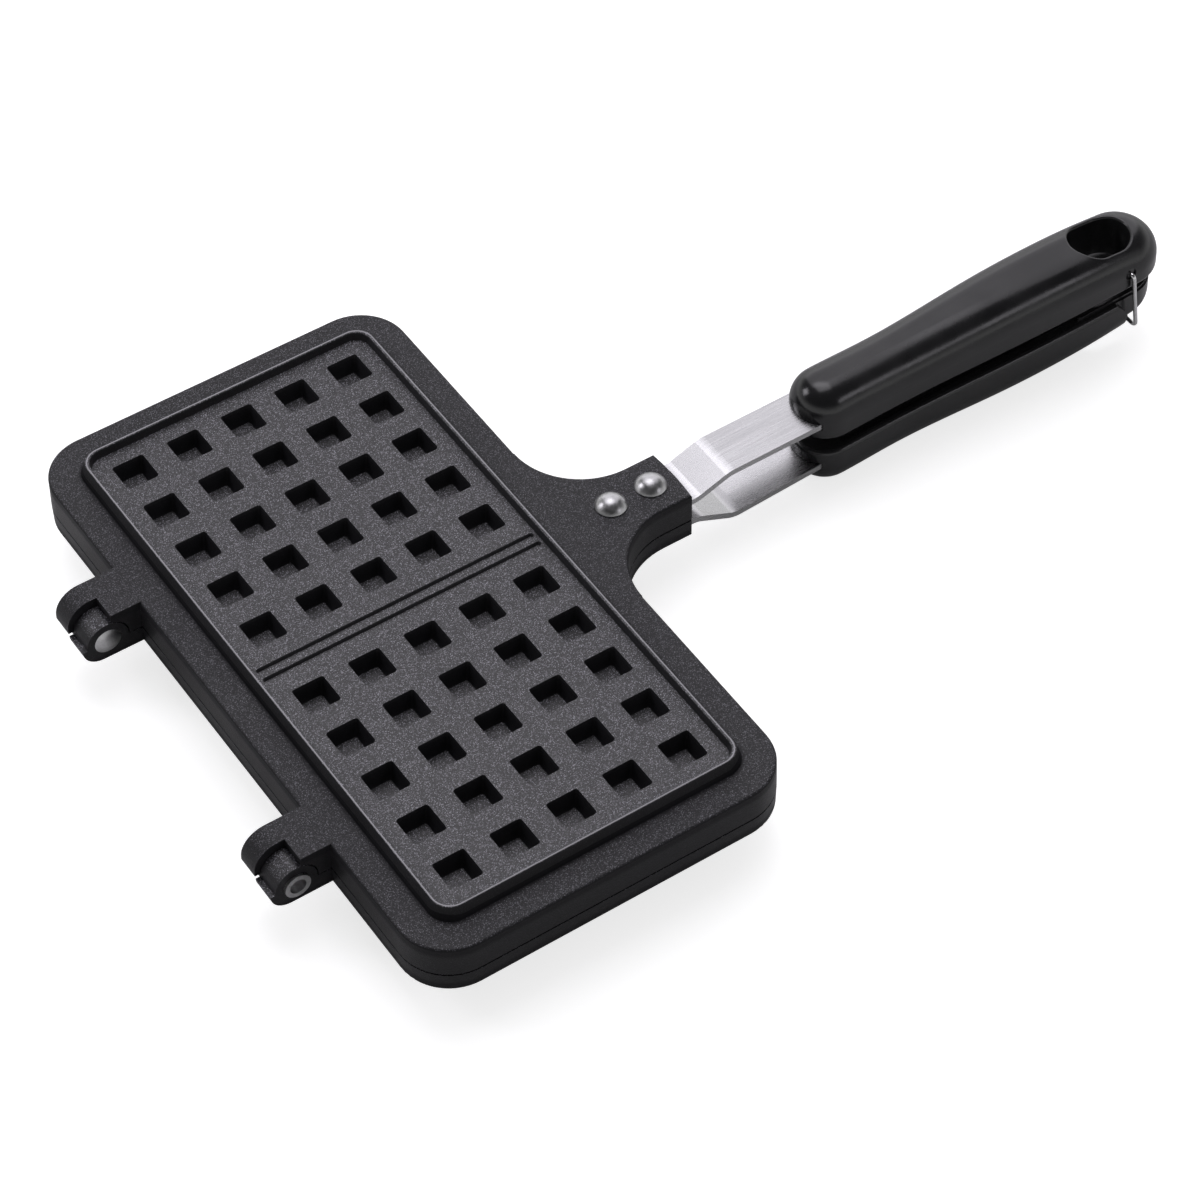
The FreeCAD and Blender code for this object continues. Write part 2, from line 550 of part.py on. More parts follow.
upper_tang = make_tang("upper_tang", "upper_tang_depth", "upper_ramp_end", "grip_mid_height",
                       "handle_tilt_degrees")
lower_tang = make_tang("lower_tang", "lower_tang_depth", "lower_ramp_end",
                       "-(upper_wall_depth + lower_wall_depth) - grip_mid_height", "-handle_tilt_degrees")


# grips


def add_tongue(body):
    """Steps the grip's end down to a narrower tongue, whose crest is an arc about the bail's
    axis, so that the closed bail lies by the step and swings clear of the tongue"""
    above, beyond = val("grip_inner + grip_blank + overrun"), val("grip_length + 2 * overrun")
    low, outer = val("grip_inner - overrun"), val("bail_place")
    points = [Vector(val("step_inner_place"), low, 0),
              Vector(val("step_middle_place"), val("step_middle_height"), 0),
              Vector(outer, val("step_outer_height"), 0)]
    step = Part.BSplineCurve()
    step.interpolate(Points=points, InitialTangent=Vector(0, 1, 0), FinalTangent=Vector(0, 1, 0))
    round_it = [points[2], Vector(outer, above, 0), Vector(beyond, above, 0), Vector(beyond, low, 0), points[0]]
    sketch = new_sketch(body, "step_sketch", "XZ_Plane")
    draw_fixed(sketch, [step] + [Part.LineSegment(a, b) for a, b in zip(round_it, round_it[1:])])
    add(body, "Pocket", "step", sketch, "4 * hip_half_width", Midplane=True)
    swing = "(bail_drop - wire_radius - tongue_gap)"
    wide, centre = "(grip_end_radius - tongue_inset)", "grip_length - grip_end_radius"
    sketch = new_sketch(body, "tongue_sketch", "XY_Plane", "grip_inner")
    draw_outline(sketch, [("tongue_root", "-" + wide), (centre, "-" + wide), (centre, wide, wide),
                          ("tongue_root", wide)])
    add(body, "Pad", "tongue", sketch, swing + " - bail_height - grip_inner + tongue_over")
    sketch = new_sketch(body, "swing_sketch", "XZ_Plane")
    draw_outline(sketch, [
        ("bail_place", "grip_blank + overrun"), ("bail_place + " + swing, "grip_blank + overrun"),
        ("bail_place + " + swing, "-bail_height"), ("bail_place", swing + " - bail_height", swing)])
    add(body, "Pocket", "swing", sketch, "4 * hip_half_width", Midplane=True)
    reach = val(swing)
    pivot = Vector(outer, 0, -val("bail_height"))

    def on_swing(p):
        return near(Vector(p.x - pivot.x, 0, p.z - pivot.z).Length, reach) and p.x > outer - PICK_SLACK

    add_round(body, "tongue_crown", "tongue_crown_round", on_swing)


def make_grip(label, tongue=False):
    """The form that both grips share: a long shell with a hanging slot in its solid end"""
    body = new_body(label)
    nose, end = val("grip_nose_radius"), val("grip_end_radius")
    length = val("grip_length")
    sketch = new_sketch(body, label + "_plan_sketch", "XY_Plane", "grip_inner")
    plan = [(nose, nose), (val("waist_place"), val("waist_half_width")),
            (val("palm_place"), val("palm_half_width")), (val("hip_place"), val("hip_half_width")),
            (length - end, end)]
    flank = [Part.BSplineCurve(), Part.BSplineCurve()]
    for curve, side in zip(flank, (1, -1)):
        curve.interpolate(Points=[Vector(x, side * y, 0) for x, y in plan],
                          InitialTangent=Vector(1, 0, 0), FinalTangent=Vector(1, 0, 0))
    draw_fixed(sketch, flank + [
        Part.Arc(Vector(nose, nose, 0), Vector(0, 0, 0), Vector(nose, -nose, 0)),
        Part.Arc(Vector(length - end, -end, 0), Vector(length, 0, 0), Vector(length - end, end, 0))])
    add(body, "Pad", label + "_blank", sketch, "grip_blank")
    sketch = new_sketch(body, label + "_crest_sketch", "XZ_Plane")
    before, beyond, above = -val("overrun"), length + val("overrun"), val("grip_inner + grip_blank + overrun")
    crest = [(0, "crest_nose"), (val("bulb_place"), "crest_bulb"), (val("waist_place"), "crest_waist"),
             (val("palm_place"), "crest_palm"), (val("crest_hip_place"), "crest_hip"),
             (val("crest_fall_place"), "crest_fall"), (length, "crest_end")]
    points = [Vector(x, val(height), 0) for x, height in crest]
    points[0].x = before
    points[-1] += (points[-1] - points[-2]).normalize() * val("overrun") * 2
    profile = Part.BSplineCurve()
    profile.interpolate(Points=points)
    corners = [Vector(before, above, 0), Vector(beyond + val("overrun"), above, 0)]
    draw_fixed(sketch, [profile, Part.LineSegment(points[0], corners[0]),
                        Part.LineSegment(corners[0], corners[1]), Part.LineSegment(corners[1], points[-1])])
    add(body, "Pocket", label + "_crest", sketch, "4 * hip_half_width", Midplane=True)
    add_round(body, label + "_crown_round", "grip_crown_round", lambda p: p.z > val("crest_end") - 1)
    add_round(body, label + "_inner_round", "grip_inner_round", lambda p: near(p.z, val("grip_inner")))
    if tongue:
        add_tongue(body)

    # raised pad on the inner face of the solid end
    sketch = new_sketch(body, label + "_end_pad_sketch", "XY_Plane", "grip_inner")
    centre, wide = "grip_length - grip_end_radius", "grip_end_radius - end_pad_inset"
    draw_outline(sketch, [("grip_channel_end", "-(%s)" % wide), (centre, "-(%s)" % wide),
                          (centre, wide, wide), ("grip_channel_end", wide)])
    add(body, "Pad", label + "_end_pad", sketch, "end_pad_rise", Reversed=True)

    # channel for the tang, closed all round at the nose, with room for the tab
    sketch = new_sketch(body, label + "_channel_sketch", "XZ_Plane")
    under = "tang_thickness + mouth_gap"
    tab_top = tang_face("tab_place") + " + tab_height + tab_top_room"
    draw_outline(sketch, [
        ("nose_lip", "0"), ("grip_channel_end", "0"), ("grip_channel_end", tab_top),
        ("tab_place - tab_room", tab_top), ("tab_place - tab_room", tang_face("(tab_place - tab_room)")),
        ("-overrun", tang_face("(-overrun)")), ("-overrun", "%s - (%s)" % (tang_face("(-overrun)"), under)),
        ("nose_lip", "%s - (%s)" % (tang_face("nose_lip"), under))])
    add(body, "Pocket", label + "_channel", sketch, "grip_channel_width", Midplane=True)

    # hanging slot, and the screw's hole and its sunk seat in the slot's wall
    sketch = new_sketch(body, label + "_slot_sketch", "XY_Plane")
    draw_slot(sketch, "slot_length", "slot_width", "slot_centre")
    add(body, "Pocket", label + "_slot", sketch, "grip_inner + grip_blank + overrun", Reversed=True)
    straight = val("slot_length - slot_width") / 2

    def on_slot_rim(p):
        past = max(0, abs(p.x - val("slot_centre")) - straight)
        return near(math.hypot(past, p.y), val("slot_width") / 2) and p.z > val("bail_height")

    if not tongue:
        add_round(body, label + "_slot_round", "slot_edge_round", on_slot_rim)
    seat = "slot_centre - slot_length / 2 - screw_sink"
    sketch = new_sketch(body, label + "_screw_hole_sketch", "YZ_Plane", seat)
    draw_circle(sketch, "screw_shank + 2 * screw_gap", "0", "screw_height")
    add(body, "Pocket", label + "_screw_hole", sketch, "%s - grip_channel_end + overrun" % seat)
    sketch = new_sketch(body, label + "_screw_seat_sketch", "YZ_Plane", seat)
    draw_circle(sketch, "screw_head + 2 * screw_sink_gap", "0", "screw_height")
    add(body, "Pocket", label + "_screw_seat", sketch, "screw_sink + screw_head", Reversed=True)
    return body


upper_grip = make_grip("upper_grip")
sketch = new_sketch(upper_grip, "pivot_hole_sketch", "XZ_Plane")
draw_circle(sketch, "2 * (wire_radius + pivot_gap)", "bail_place", "bail_height")
add(upper_grip, "Pocket", "pivot_hole", sketch, "4 * hip_half_width", Midplane=True)
for mark, side, turned in (("left", "-1", False), ("right", "1", True)):
    sketch = new_sketch(upper_grip, mark + "_pivot_sink_sketch", "XZ_Plane",
                        side + " * (hip_half_width - pivot_sink_depth)")
    draw_circle(sketch, "pivot_sink", "bail_place", "bail_height")
    add(upper_grip, "Pocket", mark + "_pivot_sink", sketch, "pivot_sink_depth + overrun", Reversed=turned)

lower_grip = make_grip("lower_grip", tongue=True)


# bail, drawn from its pivot axis with the legs hanging down

bail = new_body("latch_bail")
path = new_sketch(bail, "bail_path", "YZ_Plane")
side, bar = "bail_half_width", "-bail_drop"
draw_outline(path, [
    ("-pivot_end", "0"), ("-(%s - pivot_bend)" % side, "0"), ("-" + side, "-pivot_bend", "pivot_bend"),
    ("-" + side, bar + " + wire_bend"), ("-(%s - wire_bend)" % side, bar, "wire_bend"),
    (side + " - wire_bend", bar), (side, bar + " + wire_bend", "wire_bend"), (side, "-pivot_bend"),
    (side + " - pivot_bend", "0", "pivot_bend"), ("pivot_end", "0")], closed=False)
wire = new_sketch(bail, "bail_wire", "XZ_Plane", "pivot_end")
draw_circle(wire, "2 * wire_radius")
doc.recompute()
edges = ["Edge%d" % (k + 1) for k in range(path.GeometryCount)]
add(bail, "AdditivePipe", "bail_sweep", wire, Spine=(path, edges))


# places in one frame, then moved so that the whole stands on Z = 0 about X = Y = 0

across_x = Rotation(Vector(1, 0, 0), 180)
upper_place = Placement()
lower_place = Placement(Vector(0, 0, -val("upper_wall_depth + lower_wall_depth")), across_x)
upper_hold = Placement(Vector(val("grip_start"), 0, val("grip_mid_height")),
                       Rotation(Vector(0, 1, 0), -val("handle_tilt_degrees")))
lower_hold = upper_hold * Placement(Vector(), across_x)
hinge_height = val("hinge_above_parting - upper_wall_depth")
ear_face = val("lug_inner_end")
upper_face = Vector(0, 0, -val("flange_step"))
screw_seat = Vector(val("slot_centre - slot_length / 2 - screw_sink"), 0, val("screw_height"))
towards_nose = Placement(screw_seat, Rotation(Vector(0, 0, 1), Vector(-1, 0, 0)))
bail_turn = Rotation(Vector(0, 1, 0), -val("bail_lean_degrees"))


def rivet_place(name):
    return Placement(Vector(val(name), 0, -val("flange_step")), Rotation())


PLACES = [
    (lower_plate, lower_place), (upper_plate, upper_place),
    (left_pin, Placement(Vector(-val("hinge_reach"), ear_face, hinge_height),
                         Rotation(Vector(0, 0, 1), Vector(0, 1, 0)))),
    (right_pin, Placement(Vector(-val("hinge_reach"), -ear_face + val("pin_end_gap"), hinge_height),
                          Rotation(Vector(0, 0, 1), Vector(0, -1, 0)))),
    (lower_tang, lower_place), (upper_tang, upper_place),
    (lower_front_rivet, lower_place * rivet_place("rivet_first")),
    (lower_back_rivet, lower_place * rivet_place("rivet_second")),
    (upper_front_rivet, upper_place * rivet_place("rivet_first")),
    (upper_back_rivet, upper_place * rivet_place("rivet_second")),
    (lower_grip, lower_hold), (upper_grip, upper_hold),
    (lower_screw, lower_hold * towards_nose), (upper_screw, upper_hold * towards_nose),
    (bail, upper_hold * Placement(Vector(val("bail_place"), 0, val("bail_height")), bail_turn)),
]
for body, place in PLACES:
    body.Placement = place
doc.recompute()
box = FreeCAD.BoundBox()
for body, place in PLACES:
    box.add(body.Shape.optimalBoundingBox(False))
shift = Placement(Vector(-(box.XMin + box.XMax) / 2, -(box.YMin + box.YMax) / 2, -box.ZMin), Rotation())
for body, place in PLACES:
    body.Placement = shift * place
doc.recompute()

os.makedirs("parts", exist_ok=True)
for body, place in PLACES:
    for item in [body] + list(body.Group):
        if not item.isValid() or "Invalid" in item.State or "Error" in item.State:
            raise RuntimeError("%s: %s" % (item.Name, item.State))
    shape = body.Shape
    if shape.isNull() or not shape.isValid() or len(shape.Solids) != 1:
        raise RuntimeError("%s has a bad shape" % body.Label)
    shape.exportStep("parts/%s.step" % body.Label)
    limits = shape.optimalBoundingBox(False)
    print("%-18s %10.1f mm3  x %8.2f %8.2f  y %8.2f %8.2f  z %7.2f %7.2f" % (
        body.Label, shape.Volume, limits.XMin, limits.XMax, limits.YMin, limits.YMax, limits.ZMin, limits.ZMax))
print("whole: %.2f x %.2f x %.2f, moved by %s" % (box.XLength, box.YLength, box.ZLength, tuple(shift.Base)))
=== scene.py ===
import bpy
import json
import math
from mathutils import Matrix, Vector


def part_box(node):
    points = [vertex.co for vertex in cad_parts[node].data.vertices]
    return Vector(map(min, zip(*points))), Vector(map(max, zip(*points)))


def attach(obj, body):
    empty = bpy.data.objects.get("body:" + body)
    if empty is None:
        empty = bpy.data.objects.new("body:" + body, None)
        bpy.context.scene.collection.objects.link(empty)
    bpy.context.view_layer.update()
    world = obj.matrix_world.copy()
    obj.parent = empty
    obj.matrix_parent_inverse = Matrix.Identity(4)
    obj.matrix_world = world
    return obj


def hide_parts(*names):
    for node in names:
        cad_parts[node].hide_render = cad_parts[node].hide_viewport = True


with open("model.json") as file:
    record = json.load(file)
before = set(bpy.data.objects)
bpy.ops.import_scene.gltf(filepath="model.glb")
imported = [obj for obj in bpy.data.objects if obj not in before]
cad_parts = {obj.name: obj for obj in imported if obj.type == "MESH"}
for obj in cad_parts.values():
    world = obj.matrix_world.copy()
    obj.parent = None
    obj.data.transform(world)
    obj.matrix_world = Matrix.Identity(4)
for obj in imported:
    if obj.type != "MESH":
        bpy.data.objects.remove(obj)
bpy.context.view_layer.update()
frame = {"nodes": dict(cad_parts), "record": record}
nodes = frame["nodes"]
mm = 0.001
print("frame loaded:", len(nodes), "nodes")


# selection by code, as nothing may be left selected from before
def deselectAll():
    if bpy.context.object and bpy.context.object.mode != "OBJECT":
        bpy.ops.object.mode_set(mode="OBJECT")
    bpy.ops.object.select_all(action="DESELECT")


def pick(obj):
    deselectAll()
    obj.select_set(True)
    bpy.context.view_layer.objects.active = obj
    return obj


# short ways to build node trees
def wire(tree, start, end):
    tree.links.new(start, end)


def addNode(tree, kind, **settings):
    node = tree.nodes.new(kind)
    for key, value in settings.items():
        if key in node.inputs:
            node.inputs[key].default_value = value
        else:
            setattr(node, key, value)
    return node


def newGroup(name, inputs, outputs):
    group = bpy.data.node_groups.new(name, "ShaderNodeTree")
    for socketName, kind, value in inputs:
        socket = group.interface.new_socket(name=socketName, in_out="INPUT", socket_type=kind)
        if value is not None:
            socket.default_value = value
    for socketName, kind in outputs:
        group.interface.new_socket(name=socketName, in_out="OUTPUT", socket_type=kind)
    return group, group.nodes.new("NodeGroupInput"), group.nodes.new("NodeGroupOutput")


def ramp(tree, source, low, high, lowValue=0.0, highValue=1.0):
    node = addNode(tree, "ShaderNodeMapRange")
    node.inputs["From Min"].default_value = low
    node.inputs["From Max"].default_value = high
    node.inputs["To Min"].default_value = lowValue
    node.inputs["To Max"].default_value = highValue
    wire(tree, source, node.inputs["Value"])
    return node.outputs["Result"]


def mixColour(tree, mask, first, second):
    node = addNode(tree, "ShaderNodeMix", data_type="RGBA")
    wire(tree, mask, node.inputs[0])
    for socket, value in ((node.inputs[6], first), (node.inputs[7], second)):
        if isinstance(value, tuple):
            socket.default_value = (*value, 1)
        else:
            wire(tree, value, socket)
    return node.outputs[2]


def maths(tree, operation, first, second):
    node = addNode(tree, "ShaderNodeMath", operation=operation)
    for socket, value in zip(node.inputs, (first, second)):
        if isinstance(value, (int, float)):
            socket.default_value = value
        else:
            wire(tree, value, socket)
    return node.outputs[0]


# shared effects, which give out masks and heights only
effects = {"fleckRarity": 3.0, "fleckEdge": (0.62, 0.28), "grainToFleck": 0.62, "smudge": (0.35, 0.65)}


def makeFleckGroup(c=effects):
    group, source, result = newGroup(
        "coatingFlecks",
        [("Vector", "NodeSocketVector", None), ("Scale", "NodeSocketFloat", 2300.0)],
        [("Fleck", "NodeSocketFloat"), ("Height", "NodeSocketFloat")])
    cells = addNode(group, "ShaderNodeTexVoronoi", feature="F1")
    wire(group, source.outputs["Vector"], cells.inputs["Vector"])
    wire(group, source.outputs["Scale"], cells.inputs["Scale"])
    split = addNode(group, "ShaderNodeSeparateColor")
    wire(group, cells.outputs["Color"], split.inputs[0])
    chance = maths(group, "POWER", split.outputs[0], c["fleckRarity"])
    near = ramp(group, cells.outputs["Distance"], *c["fleckEdge"])
    wire(group, maths(group, "MULTIPLY", chance, near), result.inputs["Fleck"])
    grain = addNode(group, "ShaderNodeTexNoise", Detail=3.0, Roughness=0.6)
    wire(group, source.outputs["Vector"], grain.inputs["Vector"])
    finer = maths(group, "MULTIPLY", source.outputs["Scale"], c["grainToFleck"])
    wire(group, finer, grain.inputs["Scale"])
    wire(group, grain.outputs["Fac"], result.inputs["Height"])
    return group


def makeHandlingGroup(c=effects):
    group, source, result = newGroup(
        "handlingMarks",
        [("Vector", "NodeSocketVector", None), ("Scale", "NodeSocketFloat", 60.0)],
        [("Smudge", "NodeSocketFloat")])
    cloud = addNode(group, "ShaderNodeTexNoise", Detail=4.0, Roughness=0.55, Distortion=0.4)
    wire(group, source.outputs["Vector"], cloud.inputs["Vector"])
    wire(group, source.outputs["Scale"], cloud.inputs["Scale"])
    wire(group, ramp(group, cloud.outputs["Fac"], *c["smudge"]), result.inputs["Smudge"])
    return group


def makeBrushGroup():
    group, source, result = newGroup(
        "brushedLines",
        [("Vector", "NodeSocketVector", None), ("Scale", "NodeSocketFloat", 900.0),
         ("Stretch", "NodeSocketFloat", 0.02)],
        [("Line", "NodeSocketFloat")])
    split = addNode(group, "ShaderNodeSeparateXYZ")
    wire(group, source.outputs["Vector"], split.inputs[0])
    along = maths(group, "MULTIPLY", split.outputs["X"], source.outputs["Stretch"])
    joined = addNode(group, "ShaderNodeCombineXYZ")
    wire(group, along, joined.inputs["X"])
    wire(group, split.outputs["Y"], joined.inputs["Y"])
    wire(group, split.outputs["Z"], joined.inputs["Z"])
    grain = addNode(group, "ShaderNodeTexNoise", Detail=4.0, Roughness=0.65)
    wire(group, joined.outputs[0], grain.inputs["Vector"])
    wire(group, source.outputs["Scale"], grain.inputs["Scale"])
    wire(group, grain.outputs["Fac"], result.inputs["Line"])
    return group


fleckGroup = makeFleckGroup()
handlingGroup = makeHandlingGroup()
brushGroup = makeBrushGroup()
print("shared effects made")


def startMaterial(name, **constants):
    material = bpy.data.materials.new(name)
    material.use_nodes = True
    tree = material.node_tree
    tree.nodes.clear()
    shader = addNode(tree, "ShaderNodeBsdfPrincipled", **constants)
    output = addNode(tree, "ShaderNodeOutputMaterial")
    wire(tree, shader.outputs[0], output.inputs[0])
    place = addNode(tree, "ShaderNodeTexCoord").outputs["Object"]
    return material, tree, shader, place


def placeGroup(tree, group, place, **values):
    node = addNode(tree, "ShaderNodeGroup")
    node.node_tree = group
    wire(tree, place, node.inputs["Vector"])
    for key, value in values.items():
        node.inputs[key].default_value = value
    return node


def bumpFrom(tree, shader, height, strength, distance):
    bump = addNode(tree, "ShaderNodeBump", Strength=strength, Distance=distance)
    wire(tree, height, bump.inputs["Height"])
    wire(tree, bump.outputs[0], shader.inputs["Normal"])


# the plates' dark coating, flecked on its level faces
coating = {
    "dark": (0.010, 0.0098, 0.0112), "pale": (0.014, 0.0136, 0.0158), "fleck": (0.42, 0.411, 0.465),
    "crestHighlight": (0.34, 0.336, 0.36), "fleckScale": 3100.0, "lowFleck": 0.48, "lowGlint": 0.6,
    "flat": (0.55, 0.9), "sideFleck": 0.06, "glint": (0.26, 0.5), "seamShadow": (0.001, 0.001, 0.001),
    "rough": (0.38, 0.46), "lowRough": 0.10, "bump": 0.6, "bumpHeight": 0.16 * mm, "smudgeScale": 28.0}
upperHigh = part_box("upper_plate")[1]
neckTip = 100.2 * mm  # from the grid's middle to the neck's end
crest = {
    "middle": upperHigh[0] - neckTip,
    "half": (51.6 * mm, 106.1 * mm), "round": 6.2 * mm, "line": (0.30 * mm, 0.08 * mm), "below": 0.6 * mm,
    "flange": (3.7 * mm, 4.2 * mm), "pocket": (7.0 * mm, 8.6 * mm), "foot": (2.0 * mm, 3.4 * mm),
    "footStart": 1.4 * mm, "footShade": 0.28, "insideFrom": 4.7 * mm,
    "parting": 19.54 * mm, "seam": (0.42 * mm, 0.22 * mm), "earsEnd": upperHigh[0] - 164.6 * mm}


def crestMask(tree, place, side, c=crest):
    # masks of the rim's crest with its painted highlight, the lowered faces, the painted shade by the rim's
    # foot and the painted shadow in the line between the plates
    high = upperHigh[2] if side > 0 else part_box("lower_plate")[0][2]
    split = addNode(tree, "ShaderNodeSeparateXYZ")
    wire(tree, place, split.inputs[0])
    far = []
    for axis, middle, half in (("X", c["middle"], c["half"][0]), ("Y", 0.0, c["half"][1])):
        off = maths(tree, "ABSOLUTE", maths(tree, "SUBTRACT", split.outputs[axis], middle), 0.0)
        far.append(maths(tree, "SUBTRACT", off, half - c["round"]))
    squares = [maths(tree, "POWER", maths(tree, "MAXIMUM", f, 0.0), 2.0) for f in far]
    outside = maths(tree, "SQRT", maths(tree, "ADD", *squares), 0.0)
    inside = maths(tree, "MINIMUM", maths(tree, "MAXIMUM", *far), 0.0)
    away = maths(tree, "SUBTRACT", maths(tree, "ADD", outside, inside), c["round"])
    off = maths(tree, "ABSOLUTE", away, 0.0)
    depth = maths(tree, "MULTIPLY", maths(tree, "SUBTRACT", high, split.outputs["Z"]), side)
    onTop = ramp(tree, depth, c["below"], 0.0)
    lowered = maths(tree, "MULTIPLY", ramp(tree, depth, *c["flange"]),
                    ramp(tree, depth, *c["pocket"], 1.0, 0.0))
    # a band on the flange just outside the rim's foot gets fewer flecks and less sheen: painted shade
    shade = ramp(tree, away, *c["foot"], c["footShade"], 1.0)
    foot = maths(tree, "MAXIMUM", shade, maths(tree, "LESS_THAN", away, c["footStart"]))
    foot = maths(tree, "MAXIMUM", foot, maths(tree, "GREATER_THAN", depth, c["insideFrom"]))
    seam = maths(tree, "ABSOLUTE", maths(tree, "SUBTRACT", split.outputs["Z"], c["parting"]), 0.0)
    seam = maths(tree, "MULTIPLY", ramp(tree, seam, *c["seam"]),
                 maths(tree, "GREATER_THAN", away, c["foot"][1]))
    seam = maths(tree, "MULTIPLY", seam, maths(tree, "GREATER_THAN", split.outputs["X"], c["earsEnd"]))
    return maths(tree, "MULTIPLY", ramp(tree, off, *c["line"]), onTop), lowered, foot, seam


def makeCoating(name, side, c=coating):
    material, tree, shader, place = startMaterial(name)
    flecks = placeGroup(tree, fleckGroup, place, Scale=c["fleckScale"])
    marks = placeGroup(tree, handlingGroup, place, Scale=c["smudgeScale"])
    crestHighlight, lowered, foot, seam = crestMask(tree, place, side)
    base = mixColour(tree, marks.outputs["Smudge"], c["dark"], c["pale"])
    shine = maths(tree, "MULTIPLY", flecks.outputs["Fleck"],
                  ramp(tree, lowered, 0.0, 1.0, 1.0, c["lowFleck"]))
    # fewer flecks in the painted shade by the rim's foot
    shine = maths(tree, "MULTIPLY", shine, foot)
    facing = addNode(tree, "ShaderNodeSeparateXYZ")
    wire(tree, addNode(tree, "ShaderNodeTexCoord").outputs["Normal"], facing.inputs[0])
    level = maths(tree, "ABSOLUTE", facing.outputs["Z"], 0.0)
    # the steep faces keep few of the pale flecks and get a lower specular level below: painted shade on the
    # steep faces
    flat = ramp(tree, level, *c["flat"], c["sideFleck"], 1.0)
    seam = maths(tree, "MULTIPLY", seam, maths(tree, "LESS_THAN", level, c["flat"][1]))
    shine = maths(tree, "MULTIPLY", shine, flat)
    speckled = mixColour(tree, shine, base, c["fleck"])
    # the seam between the plates is painted near black and loses its sheen: a painted shadow in the gap
    speckled = mixColour(tree, seam, speckled, c["seamShadow"])
    # the rim's crest gets a pale line: a painted highlight
    wire(tree, mixColour(tree, crestHighlight, speckled, c["crestHighlight"]), shader.inputs["Base Color"])
    glint = maths(tree, "MULTIPLY", ramp(tree, flat, 0.0, 1.0, *c["glint"]),
                  maths(tree, "SUBTRACT", 1.0, seam))
    glint = maths(tree, "MULTIPLY", glint, ramp(tree, lowered, 0.0, 1.0, 1.0, c["lowGlint"]))
    wire(tree, maths(tree, "MULTIPLY", glint, foot), shader.inputs["Specular IOR Level"])
    rough = ramp(tree, marks.outputs["Smudge"], 0, 1, *c["rough"])
    rough = maths(tree, "ADD", rough, maths(tree, "MULTIPLY", lowered, c["lowRough"]))
    wire(tree, rough, shader.inputs["Roughness"])
    bumpFrom(tree, shader, flecks.outputs["Height"], c["bump"], c["bumpHeight"])
    return material


grip = {
    "dark": (0.011, 0.011, 0.0118), "pale": (0.017, 0.017, 0.0178), "rough": (0.19, 0.27),
    "smudgeScale": 45.0, "peelScale": 1400.0, "bump": 0.08, "bumpHeight": 0.04 * mm}


def makeGripPlastic(name="blackGripPlastic", c=grip):
    material, tree, shader, place = startMaterial(name, IOR=1.5)
    marks = placeGroup(tree, handlingGroup, place, Scale=c["smudgeScale"])
    wire(tree, mixColour(tree, marks.outputs["Smudge"], c["dark"], c["pale"]), shader.inputs["Base Color"])
    wire(tree, ramp(tree, marks.outputs["Smudge"], 0, 1, *c["rough"]), shader.inputs["Roughness"])
    peel = addNode(tree, "ShaderNodeTexNoise", Scale=c["peelScale"], Detail=2.0)
    wire(tree, place, peel.inputs["Vector"])
    bumpFrom(tree, shader, peel.outputs["Fac"], c["bump"], c["bumpHeight"])
    return material


def grey(value):
    return value, value, value + 0.005  # the metals lean a little to blue


metal = {
    "line": (0.35, 0.65), "roughLine": (0.3, 0.7), "smudgeScale": 70.0, "smudgeRough": 0.04,
    "bumpHeight": 0.03 * mm, "shadeInGrip": (0.02, 0.02, 0.021), "shadeInGripOver": 2.0 * mm}


def makeMetal(name, shades, rough, lineScale, stretch, bump, hiddenFrom=None, c=metal):
    material, tree, shader, place = startMaterial(name, Metallic=1.0)
    lines = placeGroup(tree, brushGroup, place, Scale=lineScale, Stretch=stretch)
    marks = placeGroup(tree, handlingGroup, place, Scale=c["smudgeScale"])
    base = mixColour(tree, ramp(tree, lines.outputs["Line"], *c["line"]), grey(shades[0]), grey(shades[1]))
    if hiddenFrom:  # the steel inside the grips is painted dark: painted shade where the grips cover it
        split = addNode(tree, "ShaderNodeSeparateXYZ")
        wire(tree, place, split.inputs[0])
        shadeInGrip = ramp(tree, split.outputs["X"], hiddenFrom, hiddenFrom + c["shadeInGripOver"])
        base = mixColour(tree, shadeInGrip, base, c["shadeInGrip"])
    wire(tree, base, shader.inputs["Base Color"])
    spread = maths(tree, "ADD", ramp(tree, lines.outputs["Line"], *c["roughLine"], 0.0, rough[1] - rough[0]),
                   ramp(tree, marks.outputs["Smudge"], 0, 1, rough[0], rough[0] + c["smudgeRough"]))
    wire(tree, spread, shader.inputs["Roughness"])
    bumpFrom(tree, shader, lines.outputs["Line"], bump, c["bumpHeight"])
    return material


upperCoating = makeCoating("upperSatinCoating", 1)
lowerCoating = makeCoating("lowerSatinCoating", -1)
blackPlastic = makeGripPlastic()
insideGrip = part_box("upper_grip")[0][0] + 9.0 * mm
brushedSteel = makeMetal("brushedTangSteel", (0.46, 0.52), (0.20, 0.29), 1500.0, 0.03, 0.16, insideGrip)
rivetMetal = makeMetal("satinRivetMetal", (0.42, 0.52), (0.26, 0.36), 900.0, 1.0, 0.2)
pinMetal = makeMetal("hingePinMetal", (0.50, 0.62), (0.26, 0.36), 1100.0, 1.0, 0.25)
screwMetal = makeMetal("gripScrewSteel", (0.40, 0.52), (0.30, 0.42), 1200.0, 1.0, 0.2)
wireMetal = makeMetal("brightBailWire", (0.66, 0.76), (0.16, 0.24), 1300.0, 1.0, 0.12)
print("materials made")

finishes = {"plate": upperCoating, "grip": blackPlastic, "tang": brushedSteel, "rivet": rivetMetal,
            "pin": pinMetal, "screw": screwMetal, "bail": wireMetal}
for name, node in nodes.items():
    node.data.materials.clear()
    node.data.materials.append(finishes[name.split("_")[-1]])
print("CAD nodes finished")

